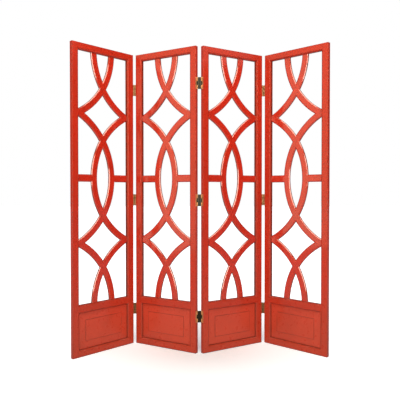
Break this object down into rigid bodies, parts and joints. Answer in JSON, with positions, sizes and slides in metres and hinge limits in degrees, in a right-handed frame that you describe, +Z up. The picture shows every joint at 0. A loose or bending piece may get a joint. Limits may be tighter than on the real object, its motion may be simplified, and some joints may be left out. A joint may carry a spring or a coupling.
{
  "type": "folding screen",
  "caption": "Free-standing folding screen: tall framed panels of curved openwork over a raised field panel, joined by double-action hinges so that each fold closes either way.",
  "frame": {"origin": "on the floor, at the centre of the standing screen's bounding box", "axes": "+X runs along the screen from the left panel to the right one, +Y points to the back, and +Z is up. The middle fold points to the front, towards -Y."},
  "size_m": [1.5006, 0.3323, 1.829],
  "materials": {
    "frame_lacquer": "red lacquered wood, satin gloss, worn darker along edges and in corners",
    "fretwork_lacquer": "red lacquered wood, satin gloss, dark glaze left along the bevels",
    "field_lacquer": "red lacquered wood, satin gloss, dark glaze round the raised field",
    "hinge_brass": "satin brass, slightly tarnished",
    "screw_brass": "satin brass",
    "aged_brass": "dark aged brass"
  },
  "bodies": {
    "centre_links": {"centre_fold_links": "aged_brass"},
    "panel_2": {"panel_2_left_stile": "frame_lacquer", "panel_2_right_stile": "frame_lacquer", "panel_2_top_rail": "frame_lacquer", "panel_2_middle_rail": "frame_lacquer", "panel_2_bottom_rail": "frame_lacquer", "panel_2_fretwork": "fretwork_lacquer", "panel_2_field_panel": "field_lacquer", "left_fold_right_leaves": "hinge_brass", "left_fold_right_pins": "aged_brass", "left_fold_right_screws": "screw_brass", "centre_fold_left_leaves": "hinge_brass", "centre_fold_left_pins": "aged_brass", "centre_fold_left_screws": "screw_brass"},
    "left_links": {"left_fold_links": "aged_brass"},
    "panel_1": {"panel_1_left_stile": "frame_lacquer", "panel_1_right_stile": "frame_lacquer", "panel_1_top_rail": "frame_lacquer", "panel_1_middle_rail": "frame_lacquer", "panel_1_bottom_rail": "frame_lacquer", "panel_1_fretwork": "fretwork_lacquer", "panel_1_field_panel": "field_lacquer", "left_fold_left_leaves": "hinge_brass", "left_fold_left_pins": "aged_brass", "left_fold_left_screws": "screw_brass"},
    "panel_3": {"panel_3_left_stile": "frame_lacquer", "panel_3_right_stile": "frame_lacquer", "panel_3_top_rail": "frame_lacquer", "panel_3_middle_rail": "frame_lacquer", "panel_3_bottom_rail": "frame_lacquer", "panel_3_fretwork": "fretwork_lacquer", "panel_3_field_panel": "field_lacquer", "centre_fold_right_leaves": "hinge_brass", "centre_fold_right_pins": "aged_brass", "centre_fold_right_screws": "screw_brass", "right_fold_left_leaves": "hinge_brass", "right_fold_left_pins": "aged_brass", "right_fold_left_screws": "screw_brass"},
    "right_links": {"right_fold_links": "aged_brass"},
    "panel_4": {"panel_4_left_stile": "frame_lacquer", "panel_4_right_stile": "frame_lacquer", "panel_4_top_rail": "frame_lacquer", "panel_4_middle_rail": "frame_lacquer", "panel_4_bottom_rail": "frame_lacquer", "panel_4_fretwork": "fretwork_lacquer", "panel_4_field_panel": "field_lacquer", "right_fold_right_leaves": "hinge_brass", "right_fold_right_pins": "aged_brass", "right_fold_right_screws": "screw_brass"}
  },
  "joints": [
    {"name": "centre_fold_left_pin", "type": "hinge", "parent": "centre_links", "child": "panel_2", "pos_m": [-0.01905, -0.06502, 0], "axis": [0, 0, -1], "range_deg": [-120, 60]},
    {"name": "centre_fold_right_pin", "type": "hinge", "parent": "centre_links", "child": "panel_3", "pos_m": [0.00595, -0.06502, 0], "axis": [0, 0, 1], "range_deg": [-120, 60]},
    {"name": "left_fold_inner_pin", "type": "hinge", "parent": "panel_2", "child": "left_links", "pos_m": [-0.40495, 0.15778, 0], "axis": [0, 0, 1], "range_deg": [-127.5, 52.5]},
    {"name": "left_fold_outer_pin", "type": "hinge", "parent": "left_links", "child": "panel_1", "pos_m": [-0.42973, 0.15451, 0], "axis": [0, 0, 1], "range_deg": [-127.5, 52.5]},
    {"name": "right_fold_inner_pin", "type": "hinge", "parent": "panel_3", "child": "right_links", "pos_m": [0.39185, 0.15778, 0], "axis": [0, 0, -1], "range_deg": [-126.25, 53.75]},
    {"name": "right_fold_outer_pin", "type": "hinge", "parent": "right_links", "child": "panel_4", "pos_m": [0.4167, 0.15505, 0], "axis": [0, 0, -1], "range_deg": [-126.25, 53.75]}
  ]
}
